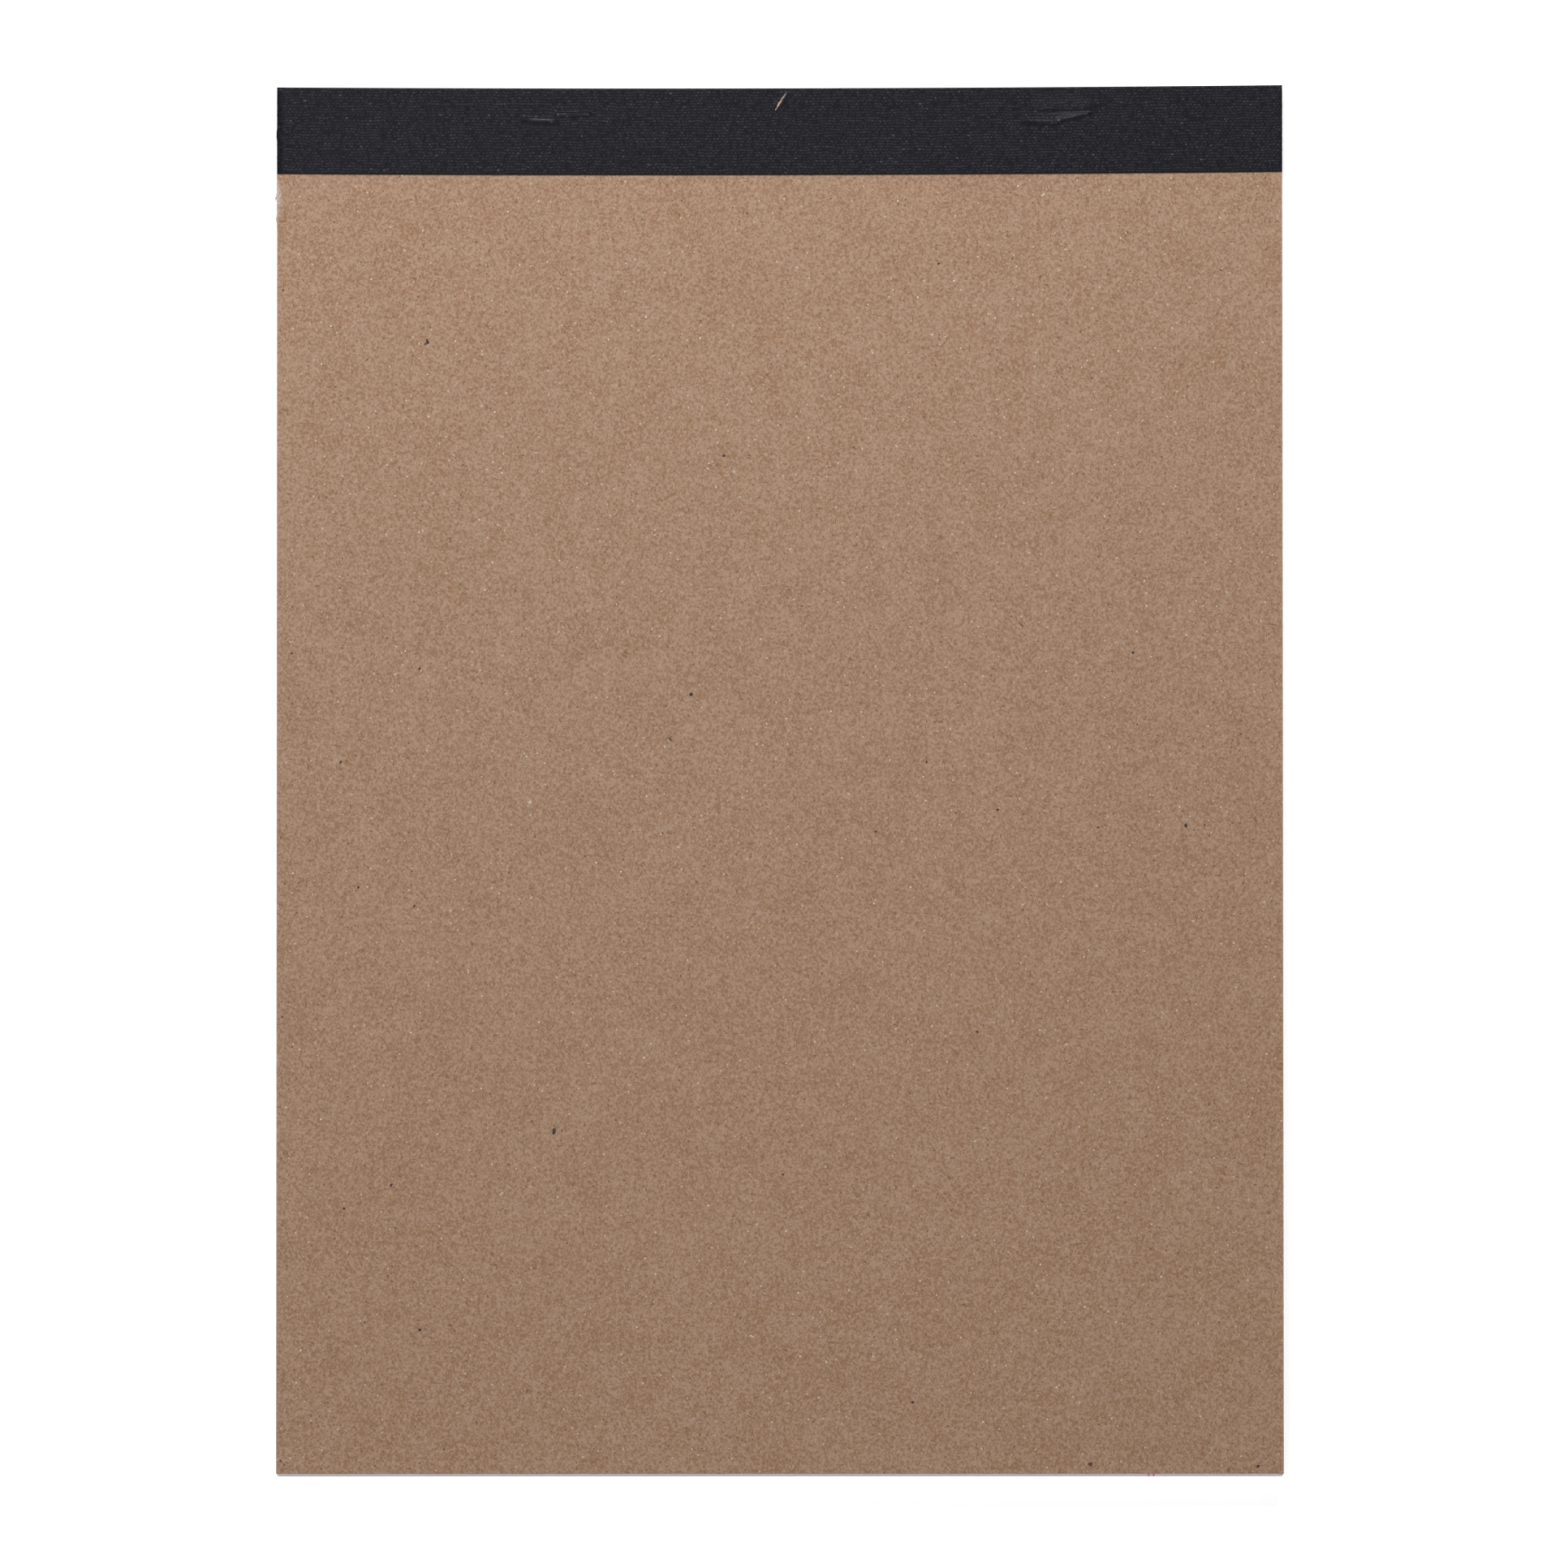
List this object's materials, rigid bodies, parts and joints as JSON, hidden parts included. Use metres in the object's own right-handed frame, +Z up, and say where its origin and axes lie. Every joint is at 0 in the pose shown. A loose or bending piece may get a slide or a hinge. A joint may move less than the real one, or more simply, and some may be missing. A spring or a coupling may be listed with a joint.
{
  "type": "legal pad",
  "caption": "Top-bound writing pad lying face down: ruled white sheets, chipboard back, two wire staples and a black cloth tape folded over the head.",
  "frame": {"origin": "middle of the pad's outline on the surface it lies on, at the face of the front sheet", "axes": "+Y towards the taped head, +Z up out of the chipboard back, +X to the right as seen from the back with the head up"},
  "size_m": [0.216, 0.2984, 0.0066],
  "materials": {
    "chipboard": "matte",
    "writing_paper": "matte",
    "cloth_tape": "satin",
    "staple_wire": "satin"
  },
  "bodies": {
    "root": {"backing_board": "chipboard", "page_block": "writing_paper", "binding_tape": "cloth_tape", "staple_left": "staple_wire", "staple_right": "staple_wire"}
  },
  "joints": []
}
